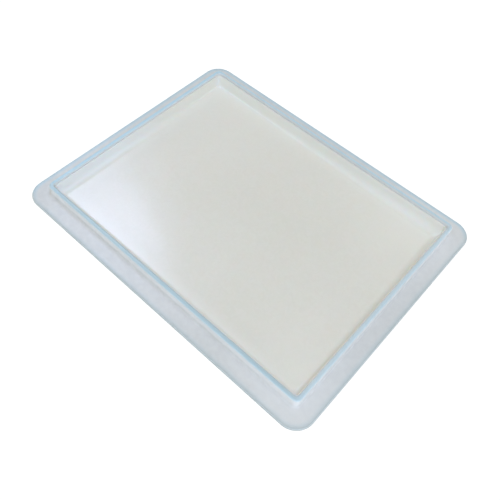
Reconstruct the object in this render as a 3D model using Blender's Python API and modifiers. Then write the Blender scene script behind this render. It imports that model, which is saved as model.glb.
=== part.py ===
"""Wet palette for acrylic paint, as it stands in use.

A shallow moulded tray has a wide flat flange half way up its wall, and four rubber feet. It holds a wet sponge,
and on the sponge lies a membrane sheet whose margins turn up against the wall. The lid shuts over the rim and
rests on the flange. While the palette is in use, the lid is turned over and pushed on from below, so the tray
stands in it.

Metres, +Z up, X along the long side. The origin is on the table, under the middle of the palette.
"""

import math

import bmesh
import bpy

MM = 0.001

# Driving dimensions
FLANGE_LENGTH = 229.0 * MM
FLANGE_WIDTH = 180.0 * MM
FLANGE_CORNER = 12.2 * MM
FLANGE_THICKNESS = 2.0 * MM
RIM_INSET = 11.2 * MM  # from the flange's edge to the rim's outer face
RIM_CORNER = 3.6 * MM
RIM_HEIGHT = 8.0 * MM  # rim above the flange, and tray body below it
WALL = 3.0 * MM
TRAY_FLOOR = 1.6 * MM
BASIN_CORNER = 2.0 * MM
SPONGE_THICKNESS = 4.6 * MM
SHEET_THICKNESS = 0.35 * MM
SHEET_BEND = 4.5 * MM  # radius where the sheet turns up
SHEET_CORNER = 5.2 * MM
LID_PANEL = 1.8 * MM
LID_SKIRT = 2.0 * MM
LID_CLEARANCE = 0.5 * MM  # between the lid's skirt and the tray
STACKING_BEAD = 0.8 * MM
SEAL_THICKNESS = 1.5 * MM
SEAL_WIDTH = 4.6 * MM
FOOT_RADIUS = 6.0 * MM
FOOT_SPACING = (170.0 * MM, 120.0 * MM)
FOOT_POCKET = 0.7 * MM  # depth that each foot is let into the tray's floor
GAP = 0.3 * MM  # between pieces that rest on each other

# Outlines, as length and width
RIM = (FLANGE_LENGTH - 2 * RIM_INSET, FLANGE_WIDTH - 2 * RIM_INSET)
BASIN = (RIM[0] - 2 * WALL, RIM[1] - 2 * WALL)

# Heights, from the table up
LID_INSIDE_Z = STACKING_BEAD + LID_PANEL
SEAL_Z = LID_INSIDE_Z + GAP
TRAY_Z = SEAL_Z + SEAL_THICKNESS + GAP
BASIN_Z = TRAY_Z + TRAY_FLOOR
SPONGE_Z = BASIN_Z + GAP
SHEET_Z = SPONGE_Z + SPONGE_THICKNESS + GAP
FLANGE_Z = TRAY_Z + RIM_HEIGHT
RIM_TOP_Z = FLANGE_Z + FLANGE_THICKNESS + RIM_HEIGHT
LID_EDGE_Z = FLANGE_Z - GAP
SHEET_TOP_Z = RIM_TOP_Z - 1.4 * MM

CORNER_STEPS = 10  # straight pieces in each quarter-round corner
DISC_SIDES = 32
CUT_MARGIN = 2.0 * MM  # how far a cutter stands out of what it cuts


def new_collection(name):
    collection = bpy.data.collections.new(name)
    bpy.context.scene.collection.children.link(collection)
    return collection


def new_material(name, colour, roughness, alpha=1.0):
    material = bpy.data.materials.new(name)
    material.use_nodes = True
    shader = material.node_tree.nodes["Principled BSDF"]
    shader.inputs["Base Color"].default_value = (*colour, 1.0)
    shader.inputs["Roughness"].default_value = roughness
    shader.inputs["Metallic"].default_value = 0.0
    shader.inputs["Alpha"].default_value = alpha
    return material


def grown(size, margin):
    """An outline's length and width, with the same margin added on every side."""
    return size[0] + 2 * margin, size[1] + 2 * margin


def rounded_outline(size, corner):
    """Points of a rounded rectangle round the origin, counter-clockwise."""
    points = []
    for quarter in range(4):
        side_x = 1 if quarter in (0, 3) else -1
        side_y = 1 if quarter in (0, 1) else -1
        centre_x = side_x * (size[0] / 2 - corner)
        centre_y = side_y * (size[1] / 2 - corner)
        for step in range(CORNER_STEPS + 1):
            angle = (quarter + step / CORNER_STEPS) * math.pi / 2
            points.append((centre_x + corner * math.cos(angle), centre_y + corner * math.sin(angle)))
    return points


def slab(name, size, corner, low, high, collection):
    """A closed plate with a rounded-rectangle outline, from height low to height high."""
    curve = bpy.data.curves.new(name, "CURVE")
    curve.dimensions = "2D"
    curve.fill_mode = "BOTH"
    curve.extrude = (high - low) / 2
    points = rounded_outline(size, corner)
    spline = curve.splines.new("POLY")
    spline.points.add(len(points) - 1)
    for point, (x, y) in zip(spline.points, points):
        point.co = (x, y, 0.0, 1.0)
    spline.use_cyclic_u = True
    drawn = bpy.data.objects.new(name + "_outline", curve)
    bpy.context.scene.collection.objects.link(drawn)
    evaluated = drawn.evaluated_get(bpy.context.evaluated_depsgraph_get())
    mesh = bpy.data.meshes.new_from_object(evaluated)
    bpy.data.objects.remove(drawn)

    shape = bmesh.new()
    shape.from_mesh(mesh)
    bmesh.ops.remove_doubles(shape, verts=shape.verts, dist=0.01 * MM)
    # Each cap becomes one face, so that a bevel runs evenly round its edge.
    bmesh.ops.dissolve_limit(shape, angle_limit=math.radians(1), verts=shape.verts, edges=shape.edges)
    bmesh.ops.recalc_face_normals(shape, faces=shape.faces)
    shape.to_mesh(mesh)
    shape.free()

    mesh.name = name
    result = bpy.data.objects.new(name, mesh)
    result.location.z = (low + high) / 2
    collection.objects.link(result)
    return result


def round_edges(obj, radius, segments=3, end=None):
    """Rounds the edges round both ends of a slab, or round its low (-1) or high (+1) end alone."""
    bevel = obj.modifiers.new("rounded edges", "BEVEL")
    bevel.width = radius
    bevel.segments = segments
    if end is None:
        bevel.limit_method = "ANGLE"
        bevel.angle_limit = math.radians(60)
        return
    group = obj.vertex_groups.new(name="rounded end")
    group.add([v.index for v in obj.data.vertices if v.co.z * end > 0], 1.0, "REPLACE")
    bevel.limit_method = "VGROUP"
    bevel.vertex_group = group.name


def as_guide(obj):
    obj.hide_render = True
    obj.display_type = "WIRE"


def combine(obj, other, operation):
    as_guide(other)
    boolean = obj.modifiers.new(other.name, "BOOLEAN")
    boolean.operation = operation
    boolean.object = other
    boolean.solver = "EXACT"


def ring(name, outer, outer_corner, width, low, high, parts, guides):
    """A flat band of one width that follows a rounded rectangle."""
    result = slab(name, outer, outer_corner, low, high, parts)
    inner_corner = max(outer_corner - width, 0.5 * MM)
    hole = slab(name + "_hole", grown(outer, -width), inner_corner, low - CUT_MARGIN, high + CUT_MARGIN, guides)
    combine(result, hole, "DIFFERENCE")
    return result


def disc(name, radius, centre, low, high, collection):
    """A closed disc standing on height low, with its origin at its middle."""
    shape = bmesh.new()
    bmesh.ops.create_cone(
        shape,
        cap_ends=True,
        segments=DISC_SIDES,
        radius1=radius,
        radius2=radius,
        depth=high - low,
    )
    mesh = bpy.data.meshes.new(name)
    shape.to_mesh(mesh)
    shape.free()
    result = bpy.data.objects.new(name, mesh)
    result.location = (centre[0], centre[1], (low + high) / 2)
    collection.objects.link(result)
    return result


def foot_centres():
    """The four feet, by name: -Y is the front and -X is the left."""
    for row, y_side in (("front", -1), ("back", 1)):
        for side, x_side in (("left", -1), ("right", 1)):
            yield row + "_" + side, (x_side * FOOT_SPACING[0] / 2, y_side * FOOT_SPACING[1] / 2)


def make_tray(parts, guides):
    tray = slab("tray", RIM, RIM_CORNER, TRAY_Z, RIM_TOP_Z, parts)
    round_edges(tray, 0.9 * MM)

    flange_size = (FLANGE_LENGTH, FLANGE_WIDTH)
    flange_top_z = FLANGE_Z + FLANGE_THICKNESS
    flange = slab("tray_flange", flange_size, FLANGE_CORNER, FLANGE_Z, flange_top_z, guides)
    round_edges(flange, 0.7 * MM)
    combine(tray, flange, "UNION")

    basin = slab("tray_basin", BASIN, BASIN_CORNER, BASIN_Z, RIM_TOP_Z + CUT_MARGIN, guides)
    round_edges(basin, 1.5 * MM, 4, end=-1)
    combine(tray, basin, "DIFFERENCE")

    pocket_top = TRAY_Z + FOOT_POCKET
    for place, centre in foot_centres():
        pocket = disc("pocket_" + place, FOOT_RADIUS + GAP, centre, TRAY_Z - CUT_MARGIN, pocket_top, guides)
        combine(tray, pocket, "DIFFERENCE")
    return tray


def make_feet(parts):
    """Round rubber feet. While the lid is stowed below, they stand on the inside of its panel."""
    feet = []
    for place, centre in foot_centres():
        top = TRAY_Z + FOOT_POCKET - GAP
        foot = disc("tray_foot_" + place, FOOT_RADIUS, centre, LID_INSIDE_Z + GAP, top, parts)
        round_edges(foot, 0.4 * MM, 2, end=-1)
        feet.append(foot)
    return feet


def make_sponge(parts):
    edge_play = 1.2 * MM
    edge_rounding = 1.2 * MM
    size = grown(BASIN, -edge_play)
    sponge = slab("sponge", size, 3.0 * MM, SPONGE_Z, SPONGE_Z + SPONGE_THICKNESS, parts)
    round_edges(sponge, edge_rounding)
    return sponge


def make_membrane_sheet(parts):
    """The sheet is an open dish: a slab without its top, bent round at the bottom and given its thickness."""
    sheet = slab("membrane_sheet", grown(BASIN, -GAP), SHEET_CORNER, SHEET_Z, SHEET_TOP_Z, parts)
    shape = bmesh.new()
    shape.from_mesh(sheet.data)
    top = [face for face in shape.faces if face.normal.z > 0.9]
    bmesh.ops.delete(shape, geom=top, context="FACES")
    shape.to_mesh(sheet.data)
    shape.free()
    round_edges(sheet, SHEET_BEND, 6, end=-1)
    solidify = sheet.modifiers.new("sheet thickness", "SOLIDIFY")
    solidify.thickness = SHEET_THICKNESS
    solidify.offset = -1.0
    solidify.use_even_offset = True
    return sheet


def make_lid(parts, guides):
    """The lid as it is stowed: panel down on the table, skirt up against the underside of the flange."""
    seat = grown(RIM, LID_CLEARANCE)
    seat_corner = RIM_CORNER + LID_CLEARANCE
    outer_corner = seat_corner + LID_SKIRT
    outer = grown(seat, LID_SKIRT)
    lid = slab("lid", outer, outer_corner, STACKING_BEAD, LID_EDGE_Z, parts)
    round_edges(lid, 1.2 * MM, 3, end=-1)

    bead_inset = 5.0 * MM
    bead_width = 2.6 * MM
    bead_outer = grown(outer, -bead_inset)
    bead_top = STACKING_BEAD + LID_PANEL / 2
    bead = ring("lid_stacking_bead", bead_outer, RIM_CORNER, bead_width, 0.0, bead_top, guides, guides)
    combine(lid, bead, "UNION")

    inside = slab("lid_inside", seat, seat_corner, LID_INSIDE_Z, LID_EDGE_Z + CUT_MARGIN, guides)
    round_edges(inside, 0.5 * MM, 2, end=-1)
    combine(lid, inside, "DIFFERENCE")
    return lid


def make_lid_seal(parts, guides):
    """A flat silicone band in the lid's corner, where the rim's top presses when the lid is shut."""
    side_play = 0.3 * MM
    outer = grown(RIM, LID_CLEARANCE - side_play)
    corner = RIM_CORNER + LID_CLEARANCE - side_play
    return ring("lid_seal", outer, corner, SEAL_WIDTH, SEAL_Z, SEAL_Z + SEAL_THICKNESS, parts, guides)


def finish_part(obj, material):
    obj.data.materials.clear()
    obj.data.materials.append(material)
    obj.data.shade_smooth()
    obj.data.set_sharp_from_angle(angle=math.radians(40))


def main():
    for obj in list(bpy.data.objects):
        bpy.data.objects.remove(obj)
    parts = new_collection("wet_palette")
    guides = new_collection("guides")

    tray_plastic = new_material("tray_plastic", (0.67, 0.75, 0.80), 0.35, 0.8)
    lid_plastic = new_material("lid_plastic", (0.72, 0.78, 0.82), 0.3, 0.6)
    silicone = new_material("seal_silicone", (0.80, 0.83, 0.85), 0.5)
    cellulose = new_material("sponge_cellulose", (0.82, 0.74, 0.50), 0.9)
    wet_paper = new_material("membrane_paper", (0.68, 0.68, 0.64), 0.3)
    rubber = new_material("foot_rubber", (0.42, 0.45, 0.48), 0.7)

    finish_part(make_lid(parts, guides), lid_plastic)
    finish_part(make_lid_seal(parts, guides), silicone)
    finish_part(make_tray(parts, guides), tray_plastic)
    for foot in make_feet(parts):
        finish_part(foot, rubber)
    finish_part(make_sponge(parts), cellulose)
    finish_part(make_membrane_sheet(parts), wet_paper)


main()
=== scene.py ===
"""The looks of the wet palette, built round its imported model.

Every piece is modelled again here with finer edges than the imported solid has: the frosted tray and the lid
stowed below it, the lid's seal, the rubber feet, the wet sponge and the membrane sheet on it. Metres, +Z up,
+X along the long side.
"""

import math

import bmesh
import bpy
from mathutils import Matrix, Vector, noise


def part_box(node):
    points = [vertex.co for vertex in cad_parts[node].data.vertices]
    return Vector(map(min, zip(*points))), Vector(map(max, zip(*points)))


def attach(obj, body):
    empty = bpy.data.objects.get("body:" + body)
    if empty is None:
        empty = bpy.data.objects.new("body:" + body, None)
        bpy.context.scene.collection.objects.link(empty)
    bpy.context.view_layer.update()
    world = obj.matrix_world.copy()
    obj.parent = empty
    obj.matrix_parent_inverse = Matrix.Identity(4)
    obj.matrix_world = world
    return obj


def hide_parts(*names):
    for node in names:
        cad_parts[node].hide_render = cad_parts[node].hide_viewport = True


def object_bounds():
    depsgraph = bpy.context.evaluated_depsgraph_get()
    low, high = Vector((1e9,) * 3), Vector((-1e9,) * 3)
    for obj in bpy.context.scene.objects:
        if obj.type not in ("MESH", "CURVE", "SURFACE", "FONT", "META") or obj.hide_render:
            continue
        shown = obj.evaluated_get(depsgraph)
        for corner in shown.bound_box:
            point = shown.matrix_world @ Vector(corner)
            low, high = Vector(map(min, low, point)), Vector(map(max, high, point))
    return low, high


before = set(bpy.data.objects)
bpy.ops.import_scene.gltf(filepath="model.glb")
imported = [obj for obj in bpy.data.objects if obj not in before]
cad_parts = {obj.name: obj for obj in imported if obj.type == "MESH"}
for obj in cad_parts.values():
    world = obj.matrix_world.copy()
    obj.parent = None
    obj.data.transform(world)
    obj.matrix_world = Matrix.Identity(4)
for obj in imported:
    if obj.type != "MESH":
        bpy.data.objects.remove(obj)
cad_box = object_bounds()

MM = 0.001

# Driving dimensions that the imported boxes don't say
RIM_INSET = 11.2 * MM  # from the flange's edge to the rim's outer face
WALL = 3.0 * MM
FLANGE_THICKNESS = 2.0 * MM
FLANGE_CORNER = 12.2 * MM
RIM_CORNER = 3.6 * MM
BASIN_CORNER = 2.0 * MM
TRAY_FLOOR = 1.6 * MM
LID_CLEARANCE = 0.5 * MM  # between the lid's skirt and the tray
LID_SKIRT = 2.0 * MM
LID_PANEL = 1.8 * MM
STACKING_BEAD = 0.8 * MM
SHEET_THICKNESS = 0.35 * MM
SHEET_BEND = 4.5 * MM  # where the sheet turns up, along the front
TIGHT_BEND = 1.5 * MM  # in its back left corner
WIDE_BEND = 6.0 * MM  # in its back right corner

# Where a tint changes from one side's to the next at a corner, over this distance to either side
CORNER_BLEND = 12.0 * MM

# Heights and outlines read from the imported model
tray_low, tray_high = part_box("tray")
lid_low, lid_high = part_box("lid")
seal_low, seal_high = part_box("lid_seal")
sponge_low, sponge_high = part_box("sponge")
sheet_low, sheet_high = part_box("membrane_sheet")
FLANGE = (tray_high.x - tray_low.x, tray_high.y - tray_low.y)
RIM = (FLANGE[0] - 2 * RIM_INSET, FLANGE[1] - 2 * RIM_INSET)
FLANGE_LOW = (tray_low.z + tray_high.z - FLANGE_THICKNESS) / 2
FLANGE_TOP = FLANGE_LOW + FLANGE_THICKNESS


# ---------------------------------------------------------------- mesh tools


def grown(size, margin):
    """An outline's length and width, with the same margin added on every side."""
    return size[0] + 2 * margin, size[1] + 2 * margin


def smooth_step(start, end, value):
    """Rises smoothly from 0 at start to 1 at end."""
    share = min(1.0, max(0.0, (value - start) / (end - start)))
    return share * share * (3 - 2 * share)


def arc(centre_offset, centre_z, radius, start, end, steps):
    """Points (offset, z) of a profile's round stretch. Angles in degrees, 0 outward and 90 up."""
    points = []
    for step in range(steps + 1):
        angle = math.radians(start + (end - start) * step / steps)
        points.append((centre_offset + radius * math.cos(angle), centre_z + radius * math.sin(angle)))
    return points


def outline(size, corner, straight_steps, round_steps):
    """A rounded rectangle's four sides, counter-clockwise, each from one corner's middle to the next's."""
    half = size[0] / 2 - corner, size[1] / 2 - corner
    signs = ((1, 1), (-1, 1), (-1, -1), (1, -1))
    sides = []
    for index, (sx, sy) in enumerate(signs):
        next_sx, next_sy = signs[(index + 1) % 4]
        here = Vector((sx * half[0], sy * half[1]))
        there = Vector((next_sx * half[0], next_sy * half[1]))
        side = []
        for step in range(round_steps + 1):
            angle = math.radians(45 + 90 * index + 45 * step / round_steps)
            side.append(here + corner * Vector((math.cos(angle), math.sin(angle))))
        last = there + corner * Vector((math.cos(angle), math.sin(angle)))
        first = side[-1]
        steps = straight_steps[index % 2]
        for step in range(1, steps):
            side.append(first.lerp(last, step / steps))
        for step in range(round_steps):
            angle = math.radians(90 + 90 * index + 45 * step / round_steps)
            side.append(there + corner * Vector((math.cos(angle), math.sin(angle))))
        sides.append(side)
    return sides


def fill_flat(shape, ring, lengths):
    """Fills a ring of vertices with an even grid of quads, blended between its four sides."""
    across, down = lengths
    top = ring[:across + 1]
    left = ring[across:across + down + 1]
    bottom = list(reversed(ring[across + down:2 * across + down + 1]))
    right = list(reversed(ring[2 * across + down:] + ring[:1]))
    rows = [top]
    for j in range(1, down):
        v = j / down
        row = [right[j]]
        for i in range(1, across):
            u = i / across
            edges = top[i].co * (1 - v) + bottom[i].co * v + right[j].co * (1 - u) + left[j].co * u
            corners = (top[0].co * (1 - u) + top[-1].co * u) * (1 - v)
            corners += (bottom[0].co * (1 - u) + bottom[-1].co * u) * v
            row.append(shape.verts.new(edges - corners))
        row.append(left[j])
        rows.append(row)
    rows.append(bottom)
    for upper, lower in zip(rows, rows[1:]):
        for i in range(across):
            shape.faces.new((upper[i], upper[i + 1], lower[i + 1], lower[i]))


def rounded_rings(profile, straight_steps, round_steps):
    """Rings of points for a skin, from a profile of (size, corner radius, height) rows."""
    rings = []
    for size, corner, height in profile:
        sides = outline(size, corner, straight_steps, round_steps)
        rings.append([Vector((point.x, point.y, height)) for side in sides for point in side])
    return rings


def skin(name, rings, straight_steps, round_steps, tints=None, caps=(True, True), closed=False):
    """A smooth-shaded surface over rings of points. Each ring has its three tints: painted blue light, the
    edge's grey with painted shade, and painted light.
    """
    shape = bmesh.new()
    layers = [shape.verts.layers.float.new(tint) for tint in ("painted_blue_light", "edge_grey_and_painted_shade", "painted_light")]
    lengths = [straight_steps[0] + 2 * round_steps, straight_steps[1] + 2 * round_steps]
    loops = []
    for index, ring in enumerate(rings):
        loop = [shape.verts.new(point) for point in ring]
        for vertex in loop:
            for layer, value in zip(layers, tints[index] if tints else (0.0, 0.0, 0.0)):
                vertex[layer] = value
        loops.append(loop)
    pairs = list(zip(loops, loops[1:]))
    if closed:
        pairs.append((loops[-1], loops[0]))
    for lower, upper in pairs:
        count = len(lower)
        for i in range(count):
            j = (i + 1) % count
            shape.faces.new((lower[i], lower[j], upper[j], upper[i]))
    if caps[0]:
        fill_flat(shape, loops[0], lengths)
    if caps[1]:
        fill_flat(shape, loops[-1], lengths)
    bmesh.ops.recalc_face_normals(shape, faces=shape.faces)
    mesh = bpy.data.meshes.new(name)
    shape.to_mesh(mesh)
    shape.free()
    mesh.shade_smooth()
    piece = bpy.data.objects.new(name, mesh)
    bpy.context.scene.collection.objects.link(piece)
    return piece


def lofted(name, rows, straight_steps, round_steps, caps=(True, True), closed=False):
    """A skin over rounded rectangles, each given as (size, corner radius, height, its three tints)."""
    rings = rounded_rings([row[:3] for row in rows], straight_steps, round_steps)
    tints = [row[3] for row in rows] if len(rows[0]) > 3 else None
    return skin(name, rings, straight_steps, round_steps, tints, caps, closed)


def paint_light_near(piece, place, reach, amount):
    """Paints light round a place (x, y) by raising a piece's painted light tint, less and less out to the
    reach.
    """
    tints = piece.data.attributes["painted_light"].data
    for vertex in piece.data.vertices:
        distance = (vertex.co.xy - Vector(place)).length
        light = amount * smooth_step(reach, 0.0, distance)
        tints[vertex.index].value = max(light, tints[vertex.index].value)


def applied(piece):
    """Replaces a piece's mesh with the one that its modifiers make."""
    evaluated = piece.evaluated_get(bpy.context.evaluated_depsgraph_get())
    mesh = bpy.data.meshes.new_from_object(evaluated)
    piece.modifiers.clear()
    piece.data = mesh
    return piece


# ---------------------------------------------------------------- materials


class Nodes:
    """A material's node tree, with short calls for the nodes that this script repeats."""

    def __init__(self, name):
        self.material = bpy.data.materials.new(name)
        self.material.use_nodes = True
        self.tree = self.material.node_tree
        self.shader = self.tree.nodes["Principled BSDF"]
        self.place = self.new("ShaderNodeTexCoord").outputs["Object"]

    def new(self, kind, **settings):
        node = self.tree.nodes.new(kind)
        for key, value in settings.items():
            setattr(node, key, value)
        return node

    def link(self, output, target):
        self.tree.links.new(output, target)

    def noise(self, scale, detail=3.0, roughness=0.5, distortion=0.0):
        node = self.new("ShaderNodeTexNoise")
        node.inputs["Scale"].default_value = scale
        node.inputs["Detail"].default_value = detail
        node.inputs["Roughness"].default_value = roughness
        node.inputs["Distortion"].default_value = distortion
        self.link(self.place, node.inputs["Vector"])
        return node.outputs["Fac"]

    def ramp(self, value, stops):
        """A colour or grey that follows value, from stops of (position, colour)."""
        node = self.new("ShaderNodeValToRGB")
        elements = node.color_ramp.elements
        while len(elements) < len(stops):
            elements.new(0.5)
        for element, (position, colour) in zip(elements, stops):
            element.position = position
            element.color = (*colour, 1.0) if len(colour) == 3 else colour
        self.link(value, node.inputs["Fac"])
        return node.outputs["Color"]

    def mix(self, factor, first, second, blend="MIX"):
        node = self.new("ShaderNodeMix", data_type="RGBA", blend_type=blend)
        sockets = (node.inputs["Factor"], node.inputs[6], node.inputs[7])
        for socket, value in zip(sockets, (factor, first, second)):
            if isinstance(value, bpy.types.NodeSocket):
                self.link(value, socket)
            elif isinstance(value, (int, float)):
                socket.default_value = value
            else:
                socket.default_value = (*value, 1.0)
        return node.outputs[2]

    def tint(self, name):
        """A tint that the mesh holds for each vertex."""
        return self.new("ShaderNodeAttribute", attribute_name=name).outputs["Fac"]

    def bump(self, height, strength, distance):
        node = self.new("ShaderNodeBump")
        node.inputs["Strength"].default_value = strength
        node.inputs["Distance"].default_value = distance
        self.link(height, node.inputs["Height"])
        if self.shader.inputs["Normal"].is_linked:
            self.link(self.shader.inputs["Normal"].links[0].from_socket, node.inputs["Normal"])
        self.link(node.outputs["Normal"], self.shader.inputs["Normal"])

    def colour(self, output):
        self.link(output, self.shader.inputs["Base Color"])

    def roughness(self, value, low, high):
        """Roughness that follows a noise, from low to high."""
        node = self.new("ShaderNodeMapRange")
        node.inputs["To Min"].default_value = low
        node.inputs["To Max"].default_value = high
        self.link(value, node.inputs["Value"])
        self.link(node.outputs["Result"], self.shader.inputs["Roughness"])

    def set(self, **values):
        for key, value in values.items():
            self.shader.inputs[key.replace("_", " ")].default_value = value


def frosted_plastic(name, body, cloudy, blue, edge, rough):
    """Frosted polypropylene: cloudy in patches, with painted blue light and painted pale light where light
    gathers, grey with painted shade on its cut edges.
    """
    nodes = Nodes(name)
    clouds = nodes.noise(38.0, detail=4.0, roughness=0.55, distortion=0.6)
    flow = nodes.ramp(clouds, ((0.32, cloudy), (0.68, body)))
    fine_noise = nodes.noise(320.0, detail=5.0)
    grain = nodes.ramp(fine_noise, ((0.35, (0.945, 0.945, 0.95)), (0.65, (1.0, 1.0, 1.0))))
    flow = nodes.mix(1.0, flow, grain, blend="MULTIPLY")
    # Painted light pales the plastic, painted blue light blues it, and painted shade greys it, as the vertex
    # tints say.
    painted_lit = nodes.mix(nodes.tint("painted_light"), flow, (0.78, 0.80, 0.81))
    nodes.colour(nodes.mix(nodes.tint("edge_grey_and_painted_shade"), nodes.mix(nodes.tint("painted_blue_light"), painted_lit, blue), edge))
    nodes.roughness(nodes.noise(120.0, detail=5.0), *rough)
    nodes.bump(nodes.noise(700.0, detail=3.0), 0.12, 0.05 * MM)
    nodes.bump(nodes.noise(30.0, detail=1.0), 0.35, 0.2 * MM)
    nodes.set(Subsurface_Weight=0.4, Subsurface_Scale=3.0 * MM, Subsurface_Radius=(0.85, 0.95, 1.0))
    nodes.set(IOR=1.49, Coat_Weight=0.0)
    return nodes.material


def wet_parchment():
    """Damp greaseproof paper: pale cream, faintly clouded with fibres, and glossy with water."""
    nodes = Nodes("wet_parchment")
    wide_noise = nodes.noise(16.0, detail=3.0)
    clouds = nodes.ramp(wide_noise, ((0.3, (0.722, 0.723, 0.662)), (0.7, (0.742, 0.743, 0.686))))
    fibres = nodes.noise(260.0, detail=6.0, distortion=1.5)
    fleck = nodes.ramp(fibres, ((0.35, (0.975, 0.975, 0.965)), (0.65, (1.0, 1.0, 1.0))))
    paper = nodes.mix(1.0, clouds, fleck, blend="MULTIPLY")
    # Painted light pales the paper and painted blue light cools it, as the vertex tints say.
    painted_lit = nodes.mix(nodes.tint("painted_light"), paper, (0.80, 0.81, 0.76))
    nodes.colour(nodes.mix(nodes.tint("painted_blue_light"), painted_lit, (0.75, 0.79, 0.80)))
    nodes.roughness(nodes.noise(22.0, detail=3.0), 0.24, 0.26)
    nodes.bump(fibres, 0.06, 0.04 * MM)
    nodes.set(IOR=1.5, Subsurface_Weight=0.15, Subsurface_Scale=1.0 * MM)
    return nodes.material


def plain_rubber(name, dark, light, rough):
    """Matte rubber or silicone with a fine grain between two shades."""
    nodes = Nodes(name)
    nodes.colour(nodes.ramp(nodes.noise(300.0, detail=4.0), ((0.3, dark), (0.7, light))))
    nodes.roughness(nodes.noise(500.0), *rough)
    nodes.bump(nodes.noise(2500.0, detail=2.0), 0.2, 0.05 * MM)
    return nodes.material


def wet_sponge():
    """Cellulose sponge: straw-coloured, with painted shade darkening it down in its pores."""
    nodes = Nodes("wet_sponge")
    pores = nodes.new("ShaderNodeTexVoronoi", feature="F1")
    pores.inputs["Scale"].default_value = 520.0
    nodes.link(nodes.place, pores.inputs["Vector"])
    shade = nodes.ramp(pores.outputs["Distance"], ((0.1, (0.34, 0.24, 0.09)), (0.5, (0.66, 0.53, 0.27))))
    nodes.colour(nodes.mix(nodes.tint("edge_grey_and_painted_shade"), shade, (0.24, 0.16, 0.06)))
    nodes.roughness(nodes.noise(200.0), 0.45, 0.8)
    nodes.bump(pores.outputs["Distance"], 0.6, 0.4 * MM)
    nodes.set(Subsurface_Weight=0.15, Subsurface_Scale=2.0 * MM)
    return nodes.material


# ---------------------------------------------------------------- pieces


def tray_corner(offset):
    """The corner radius at a distance outside the rim: small at the rim, and wide at the flange's edge."""
    if offset <= -WALL:
        return BASIN_CORNER
    if offset <= 0:
        return BASIN_CORNER + (RIM_CORNER - BASIN_CORNER) * (offset + WALL) / WALL
    return RIM_CORNER + (FLANGE_CORNER - RIM_CORNER) * offset / RIM_INSET


def make_tray(material):
    """The tray in one skin, from the basin's floor over the rim and the flange to the underside."""
    rim_round = 1.1 * MM
    foot_fillet = 1.4 * MM
    edge_round = 0.8 * MM
    basin_fillet = 1.5 * MM
    basin_z = tray_low.z + TRAY_FLOOR
    flange_edge = RIM_INSET - edge_round

    profile = []

    def add(points, blue, edge=0.0, light=0.0):
        profile.extend((offset, height, (blue, edge, light)) for offset, height in points)

    add(arc(-WALL - basin_fillet, basin_z + basin_fillet, basin_fillet, -90, 0, 4), 0.0)
    # Painted blue light: faint on the rim's inner wall, and bluest over the top of its rounds.
    add([(-WALL, FLANGE_LOW), (-WALL, tray_high.z - 3.2 * rim_round)], 0.1)
    inner_round = arc(-WALL + rim_round, tray_high.z - rim_round, rim_round, 180, 90, 5)
    outer_round = arc(-rim_round, tray_high.z - rim_round, rim_round, 90, 0, 5)
    for step, point in enumerate(inner_round):
        add([point], 0.9 * smooth_step(0, 5, step))
    for step, point in enumerate(outer_round):
        add([point], 1.0 - 0.9 * smooth_step(1, 5, step))
    # Painted light on the rim's outer wall.
    add([(0.0, tray_high.z - 2.6 * rim_round), (0.0, tray_high.z - 4.2 * rim_round)], 0.0, light=0.45)
    add(arc(foot_fillet, FLANGE_TOP + foot_fillet, foot_fillet, 180, 270, 5), 0.0)
    # Painted blue light and painted shade grow towards the flange's edge.
    for share in (0.3, 0.5, 0.6, 0.7, 0.8, 0.9):
        fade = smooth_step(0.64, 1.0, share)
        add([(RIM_INSET * share, FLANGE_TOP)], fade, 0.5 * fade * fade)
    # The flange's rounded edge: painted blue light, and grey with painted shade.
    add(arc(flange_edge, FLANGE_TOP - edge_round, edge_round, 90, 45, 2), 1.0, 0.5)
    add(arc(flange_edge, FLANGE_TOP - edge_round, edge_round, 22.5, 0, 1), 1.0, 1.0)
    add(arc(flange_edge, FLANGE_LOW + edge_round, edge_round, 0, -90, 4), 1.0, 1.0)
    add([(RIM_INSET * 0.6, FLANGE_LOW), (RIM_INSET * 0.25, FLANGE_LOW)], 0.0)
    add(arc(0.4 * MM, FLANGE_LOW - 0.4 * MM, 0.4 * MM, 90, 180, 3), 0.0)
    # Faint painted blue light on the underside's outer round.
    add(arc(-0.9 * MM, tray_low.z + 0.9 * MM, 0.9 * MM, 0, -90, 4), 0.2)

    rings = [(grown(RIM, offset), tray_corner(offset), height, tints) for offset, height, tints in profile]
    tray = lofted("tray_shell", rings, straight_steps=(60, 46), round_steps=8)
    paint_light_and_shade_by_bearing(tray)
    # Painted light round the front right and back right corners.
    paint_light_near(tray, (tray_high.x - RIM_INSET / 2, tray_low.y + RIM_INSET / 2), 70 * MM, 0.42)
    paint_light_near(tray, (tray_high.x - RIM_INSET / 2, tray_high.y - RIM_INSET / 2), 90 * MM, 0.3)
    tray.data.materials.append(material)
    return tray


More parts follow.
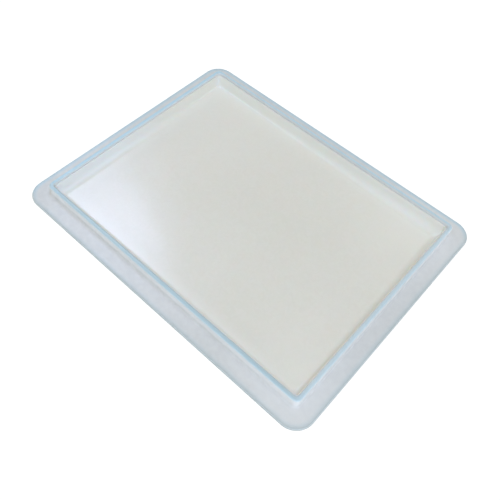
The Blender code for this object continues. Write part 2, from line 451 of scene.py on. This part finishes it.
def paint_light_and_shade_by_bearing(piece):
    """Painted blue light makes the plastic bluest along the back and left sides, towards the window, and
    painted light makes it palest at the right.
    """
    blues = piece.data.attributes["painted_blue_light"].data
    edges = piece.data.attributes["edge_grey_and_painted_shade"].data
    lights = piece.data.attributes["painted_light"].data
    for vertex in piece.data.vertices:
        to_left, to_right = vertex.co.x - tray_low.x, tray_high.x - vertex.co.x
        to_front, to_back = vertex.co.y - tray_low.y, tray_high.y - vertex.co.y
        to_near_side, to_far_side = min(to_front, to_right), min(to_back, to_left)
        inwards = min(to_near_side, to_far_side)
        # Each share is 1 along the sides that it names, and 0 along the others.
        left_and_back = smooth_step(-CORNER_BLEND, CORNER_BLEND, to_near_side - to_far_side)
        front_and_right = 1.0 - left_and_back
        right = smooth_step(-CORNER_BLEND, CORNER_BLEND, to_front - to_right) * front_and_right
        back = smooth_step(0.0, CORNER_BLEND / 2, to_left - to_back) * left_and_back
        blue = blues[vertex.index].value
        # On the flange, painted blue light is weaker at the front and right, and the edge's painted shade is
        # lighter at the back and left.
        if inwards < RIM_INSET - 1.0 * MM:
            blues[vertex.index].value = blue * (0.3 + 0.7 * left_and_back)
            edges[vertex.index].value *= 1.0 - 0.2 * left_and_back
        else:
            # Painted shade greys the rim's inner half at the back, where it faces the front, and painted light
            # makes it pale at the right.
            inner_half = smooth_step(RIM_INSET + 1.3 * MM, RIM_INSET + 2.4 * MM, inwards)
            blues[vertex.index].value = blue * (1.0 - 0.4 * right) * (1.0 - 0.7 * back * inner_half)
            # Painted shade greys the rim where it is blue at the front, less so at the right.
            edges[vertex.index].value += 0.35 * blue * front_and_right * (1.0 - 0.8 * right)
            edges[vertex.index].value += 0.25 * back * inner_half
            lights[vertex.index].value += 0.6 * right * inner_half


def make_lid(material):
    """The lid stands upside down: its panel is on the table and its skirt reaches up to the flange."""
    inner = LID_CLEARANCE
    outer = LID_CLEARANCE + LID_SKIRT
    inside_z = lid_low.z + STACKING_BEAD + LID_PANEL
    under_z = lid_low.z + STACKING_BEAD
    lip_round = 0.6 * MM
    low_round = 1.5 * MM
    bead_outer = outer - 5.0 * MM
    bead_inner = bead_outer - 2.6 * MM

    profile = []

    def add(points, blue, edge=0.0, light=0.0):
        profile.extend((offset, height, (blue, edge, light)) for offset, height in points)

    # Painted blue light on the lid's rounds and bead, faint on its flat walls.
    add(arc(inner - 0.5 * MM, inside_z + 0.5 * MM, 0.5 * MM, -90, 0, 3), 0.1)
    add([(inner, lid_high.z - 2.5 * lip_round)], 0.1)
    add(arc(inner + lip_round, lid_high.z - lip_round, lip_round, 180, 90, 4), 1.0)
    add(arc(outer - lip_round, lid_high.z - lip_round, lip_round, 90, 0, 4), 1.0)
    add([(outer, lid_high.z - 2.5 * lip_round)], 0.1)
    add(arc(outer - low_round, under_z + low_round, low_round, 0, -90, 6), 0.5)
    add([(bead_outer + 0.5 * MM, under_z)], 0.1)
    add(arc(bead_outer - 0.3 * MM, lid_low.z + 0.3 * MM, 0.3 * MM, 0, -90, 3), 0.4)
    add(arc(bead_inner + 0.3 * MM, lid_low.z + 0.3 * MM, 0.3 * MM, -90, -180, 3), 0.4)
    add([(bead_inner - 0.3 * MM, under_z)], 0.1)

    rings = []
    for offset, height, tints in profile:
        rings.append((grown(RIM, offset), max(RIM_CORNER + offset, 1.0 * MM), height, tints))
    lid = lofted("lid_shell", rings, straight_steps=(48, 36), round_steps=8)
    lid.data.materials.append(material)
    return lid


def make_seal(material):
    """A flat silicone band with two low beads that the rim presses on."""
    outer = LID_CLEARANCE - 0.3 * MM
    width = 4.6 * MM
    edge = 0.3 * MM
    bead = 0.55 * MM
    base_z = seal_high.z - 0.35 * MM

    profile = arc(outer - edge, seal_low.z + edge, edge, -90, 0, 2)
    profile += [(outer, base_z)]
    for middle in (outer - 1.4 * MM, outer - 3.2 * MM):
        for step in range(7):
            angle = math.pi * step / 6
            profile.append((middle + bead * math.cos(angle), base_z + 0.35 * MM * math.sin(angle)))
    profile += [(outer - width, base_z)]
    profile += arc(outer - width + edge, seal_low.z + edge, edge, 180, 270, 2)

    rings = [(grown(RIM, offset), RIM_CORNER + outer + 0.7 * MM, height) for offset, height in profile]
    seal = lofted("seal_ring", rings, (40, 30), 6, caps=(False, False), closed=True)
    seal.data.materials.append(material)
    return seal


def make_foot(name, material):
    """A round foot with a soft edge and a shallow sucker hollow underneath."""
    low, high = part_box(name)
    radius = (high.x - low.x) / 2
    edge = 0.5 * MM
    profile = [(radius - 2.5 * MM, low.z + 0.35 * MM), (radius - 1.6 * MM, low.z + 0.1 * MM)]
    profile += [(radius - 1.1 * MM, low.z)]
    profile += arc(radius - edge, low.z + edge, edge, -90, 0, 4)
    profile += arc(radius - 0.2 * MM, high.z - 0.2 * MM, 0.2 * MM, 0, 90, 2)
    rings = [((2 * reach, 2 * reach), reach * 0.999, height) for reach, height in profile]
    foot = lofted(name.replace("tray_foot", "rubber_foot"), rings, (1, 1), 6)
    middle = (low + high) / 2
    foot.data.transform(Matrix.Translation((middle.x, middle.y, 0.0)))
    foot.data.materials.append(material)
    return foot


def make_sponge(material):
    size = (sponge_high.x - sponge_low.x, sponge_high.y - sponge_low.y)
    round_edge = 1.3 * MM
    profile = [(-round_edge - 1.0 * MM, sponge_low.z)]
    profile += arc(-round_edge, sponge_low.z + round_edge, round_edge, -90, 0, 3)
    profile += arc(-round_edge, sponge_high.z - round_edge, round_edge, 0, 90, 3)
    profile += [(-round_edge - 1.0 * MM, sponge_high.z)]
    rings = [(grown(size, offset), 3.0 * MM + offset * 0.5, height) for offset, height in profile]
    sponge = lofted("sponge_pad", rings, straight_steps=(136, 102), round_steps=4)

    pore_size = 3.2 * MM
    deepest = 0.9 * MM
    # Each pore's depth sets how much painted shade darkens it.
    depths = sponge.data.attributes["edge_grey_and_painted_shade"].data
    for vertex, normal in zip(sponge.data.vertices, [v.normal.copy() for v in sponge.data.vertices]):
        near, second = noise.voronoi(vertex.co / pore_size)[0][:2]
        strength = noise.noise(vertex.co / (4 * pore_size)) * 0.5 + 0.5
        pore = max(0.0, 1.0 - near / 0.45) * max(0.0, strength * 1.6 - 0.35)
        depth = min(1.0, pore)
        vertex.co -= normal * depth * deepest
        depths[vertex.index].value = depth
    sponge.data.materials.append(material)
    return sponge


def sheet_bend(x, y):
    """The radius that the sheet turns up with: tight at the back left corner, wide at the back right."""
    along_back = smooth_step(-sheet_high.x, sheet_high.x, x)
    back = smooth_step(0.2 * sheet_high.y, 0.8 * sheet_high.y, y)
    back_bend = TIGHT_BEND + (WIDE_BEND - TIGHT_BEND) * along_back
    return SHEET_BEND + (back_bend - SHEET_BEND) * back


def paint_light_on_margins(piece):
    """Paints the light that comes through the turned-up margins: painted blue light at the front left and the
    back, painted light at the front.
    """
    blues = piece.data.attributes["painted_blue_light"].data
    lights = piece.data.attributes["painted_light"].data
    for vertex in piece.data.vertices:
        along_left = smooth_step(0.55 * sheet_high.y, -0.5 * sheet_high.y, vertex.co.y)
        left = along_left * smooth_step(4.5 * MM, 0.5 * MM, vertex.co.x - sheet_low.x)
        back = 0.3 * smooth_step(5.0 * MM, 1.5 * MM, sheet_high.y - vertex.co.y)
        front = smooth_step(0.8 * MM, 0.4 * MM, vertex.co.y - sheet_low.y)
        blues[vertex.index].value = max(left, back, front)
        lights[vertex.index].value = 0.5 * smooth_step(14.0 * MM, 5.0 * MM, vertex.co.y - sheet_low.y)


def make_sheet(material):
    """The membrane: flat on the sponge, bent up softly all round, its cut edge just below the rim's top."""
    size = (sheet_high.x - sheet_low.x, sheet_high.y - sheet_low.y)
    corner = 2.4 * MM
    flare = 0.22 * MM
    bend_steps = 9
    wall_steps = 6
    straight_steps = (90, 68)
    round_steps = 6

    # Two rings stand for the profile: where the usual bend starts, and the wall. Each point gets its own bend.
    profile = [(grown(size, -bend), corner) for bend in (SHEET_BEND, 0.0)]
    floor_ring, wall_ring = rounded_rings([(*row, 0.0) for row in profile], straight_steps, round_steps)
    rings = []
    for step in range(bend_steps + 1 + wall_steps):
        ring = []
        for inner, outer in zip(floor_ring, wall_ring):
            bend = sheet_bend(outer.x, outer.y)
            if step <= bend_steps:
                angle = math.pi / 2 * step / bend_steps
                reach = bend / SHEET_BEND * (1 - math.sin(angle))
                height = sheet_low.z + bend * (1 - math.cos(angle))
            else:
                share = (step - bend_steps) / wall_steps
                reach = -flare / SHEET_BEND * share ** 3
                height = sheet_low.z + bend + (sheet_high.z - sheet_low.z - bend) * share
            point = outer.lerp(inner, reach)
            ring.append(Vector((point.x, point.y, height)))
        rings.append(ring)
    sheet = skin("palette_sheet", rings, straight_steps, round_steps, caps=(True, False))
    paint_light_on_margins(sheet)
    # Painted light round the sheet's back right, front right and back left corners.
    paint_light_near(sheet, (sheet_high.x, sheet_high.y), 85 * MM, 0.55)
    paint_light_near(sheet, (sheet_high.x, sheet_low.y), 75 * MM, 0.4)
    paint_light_near(sheet, (sheet_low.x, sheet_high.y), 130 * MM, 0.3)

    swell_height = 0.16 * MM
    stiff_margin = 2 * SHEET_BEND
    for vertex in sheet.data.vertices:
        inward = min(size[0] / 2 - abs(vertex.co.x), size[1] / 2 - abs(vertex.co.y))
        flatness = smooth_step(stiff_margin, 3 * stiff_margin, inward)
        swell = noise.noise(vertex.co * 28.0)
        swell += 0.4 * noise.noise(vertex.co * 75.0 + Vector((3.0, 1.0, 0.0)))
        vertex.co.z += swell_height * flatness * (swell + 0.4)

    thickness = sheet.modifiers.new("paper thickness", "SOLIDIFY")
    thickness.thickness = SHEET_THICKNESS
    thickness.offset = -1.0
    thickness.use_even_offset = True
    applied(sheet)
    sheet.data.materials.append(material)
    return sheet


# ---------------------------------------------------------------- stage


def make_floor():
    """A white, faintly glowing floor just under the palette."""
    mesh = bpy.data.meshes.new("floor")
    shape = bmesh.new()
    bmesh.ops.create_grid(shape, x_segments=1, y_segments=1, size=20.0)
    shape.to_mesh(mesh)
    shape.free()
    floor = bpy.data.objects.new("floor", mesh)
    # Off centre, so that the seam between its two triangles stays clear of the palette.
    floor.location = (3.0, 1.0, cad_box[0][2] - 0.1 * MM)
    bpy.context.scene.collection.objects.link(floor)
    material = bpy.data.materials.new("floor_white")
    material.use_nodes = True
    shader = material.node_tree.nodes["Principled BSDF"]
    shader.inputs["Base Color"].default_value = (0.3, 0.3, 0.3, 1.0)
    shader.inputs["Roughness"].default_value = 0.9
    shader.inputs["Specular IOR Level"].default_value = 0.0
    shader.inputs["Emission Color"].default_value = (1.0, 1.0, 1.0, 1.0)
    shader.inputs["Emission Strength"].default_value = 0.78
    # Seen from below, the floor is clear, so that the underside can be looked at.
    tree = material.node_tree
    below = tree.nodes.new("ShaderNodeNewGeometry").outputs["Backfacing"]
    clear = tree.nodes.new("ShaderNodeBsdfTransparent").outputs["BSDF"]
    one_sided = tree.nodes.new("ShaderNodeMixShader")
    tree.links.new(below, one_sided.inputs["Fac"])
    tree.links.new(shader.outputs["BSDF"], one_sided.inputs[1])
    tree.links.new(clear, one_sided.inputs[2])
    tree.links.new(one_sided.outputs["Shader"], tree.nodes["Material Output"].inputs["Surface"])
    floor.data.materials.append(material)


def direction(azimuth, elevation):
    """A unit vector: azimuth in degrees from +X towards +Y, elevation in degrees above the table."""
    turn, rise = math.radians(azimuth), math.radians(elevation)
    return Vector((math.cos(turn) * math.cos(rise), math.sin(turn) * math.cos(rise), math.sin(rise)))


def area_light(name, bearing, distance, size, power, colour):
    """A rectangle of light that faces the palette, from a bearing of (azimuth, elevation) in degrees."""
    light = bpy.data.lights.new(name, "AREA")
    light.shape = "RECTANGLE"
    light.size, light.size_y = size
    light.energy = power
    light.color = colour
    lamp = bpy.data.objects.new(name, light)
    lamp.location = distance * direction(*bearing)
    lamp.rotation_euler = (-lamp.location).to_track_quat("-Z", "Y").to_euler()
    # The plastic is thin and lets light through, so the lamps throw no shadows.
    light.use_shadow = False
    bpy.context.scene.collection.objects.link(lamp)
    return lamp


def light_the_scene():
    """A pale even studio, a bluish window at the back left, cool lights in front and warm ones behind."""
    world = bpy.data.worlds.new("studio")
    world.use_nodes = True
    tree = world.node_tree
    soft = tree.nodes["Background"]
    soft.inputs["Color"].default_value = (1.0, 0.99, 0.9, 1.0)
    soft.inputs["Strength"].default_value = 0.47
    white = tree.nodes.new("ShaderNodeBackground")
    white.inputs["Color"].default_value = (1.0, 1.0, 1.0, 1.0)
    seen = tree.nodes.new("ShaderNodeLightPath").outputs["Is Camera Ray"]
    choose = tree.nodes.new("ShaderNodeMixShader")
    tree.links.new(seen, choose.inputs["Fac"])
    tree.links.new(soft.outputs["Background"], choose.inputs[1])
    tree.links.new(white.outputs["Background"], choose.inputs[2])
    tree.links.new(choose.outputs["Shader"], tree.nodes["World Output"].inputs["Surface"])
    bpy.context.scene.world = world

    area_light("window", (158.5, 54), 1.2, (0.19, 0.32), 2.8, (0.58, 0.67, 1.0))
    area_light("front_light", (-52, 30), 1.6, (1.6, 1.0), 15.2, (0.76, 0.845, 1.0))
    area_light("right_light", (5, 25), 1.6, (1.2, 0.8), 4.7, (0.77, 0.79, 1.0))
    area_light("back_light", (80, 35), 1.6, (1.0, 1.0), 2.3, (1.0, 0.82, 0.5))
    area_light("left_light", (200, 25), 1.6, (1.0, 1.0), 3.7, (1.0, 0.8, 0.5))
    bpy.context.scene.view_settings.view_transform = "Standard"


def place_camera():
    """The camera looks down over the front corner, a little tilted about its own axis."""
    camera = bpy.data.cameras.new("camera")
    camera.lens = 41.6
    camera.sensor_width = 36.0
    camera_object = bpy.data.objects.new("camera", camera)
    flange_middle = FLANGE_TOP - FLANGE_THICKNESS / 2
    place = Vector((0.1363, -0.1779, 0.2992 + flange_middle))
    target = Vector((0.0185, -0.0207, flange_middle))
    roll = math.radians(6.17)
    aim = (target - place).to_track_quat("-Z", "Y").to_matrix()
    camera_object.matrix_world = Matrix.Translation(place) @ (aim @ Matrix.Rotation(roll, 3, "Z")).to_4x4()
    bpy.context.scene.collection.objects.link(camera_object)
    bpy.context.scene.camera = camera_object


# ---------------------------------------------------------------- build

place_camera()
make_floor()
light_the_scene()

# In both plastics, blue is the painted blue light's colour, and edge is the cut edge's grey with painted
# shade.
tray_plastic = frosted_plastic(
    "tray_frosted",
    body=(0.66, 0.675, 0.67),
    cloudy=(0.63, 0.65, 0.645),
    blue=(0.48, 0.675, 0.785),
    edge=(0.36, 0.40, 0.39),
    rough=(0.28, 0.42),
)
lid_plastic = frosted_plastic(
    "lid_frosted",
    body=(0.68, 0.69, 0.70),
    cloudy=(0.65, 0.66, 0.67),
    blue=(0.46, 0.57, 0.63),
    edge=(0.39, 0.43, 0.43),
    rough=(0.28, 0.40),
)
seal_silicone = plain_rubber("milky_silicone", (0.62, 0.66, 0.69), (0.68, 0.72, 0.74), (0.45, 0.6))
foot_rubber = plain_rubber("grey_rubber", (0.10, 0.11, 0.12), (0.14, 0.15, 0.16), (0.6, 0.8))

tray = make_tray(tray_plastic)
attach(tray, "tray")
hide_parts("tray")

lid = make_lid(lid_plastic)
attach(lid, "lid")
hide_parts("lid")

seal = make_seal(seal_silicone)
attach(seal, "lid")
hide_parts("lid_seal")

for place in ("front_left", "front_right", "back_left", "back_right"):
    foot_node = "tray_foot_" + place
    foot = make_foot(foot_node, foot_rubber)
    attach(foot, "tray")
    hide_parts(foot_node)

sponge = make_sponge(wet_sponge())
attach(sponge, "sponge")
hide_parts("sponge")

sheet = make_sheet(wet_parchment())
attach(sheet, "membrane")
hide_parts("membrane_sheet")
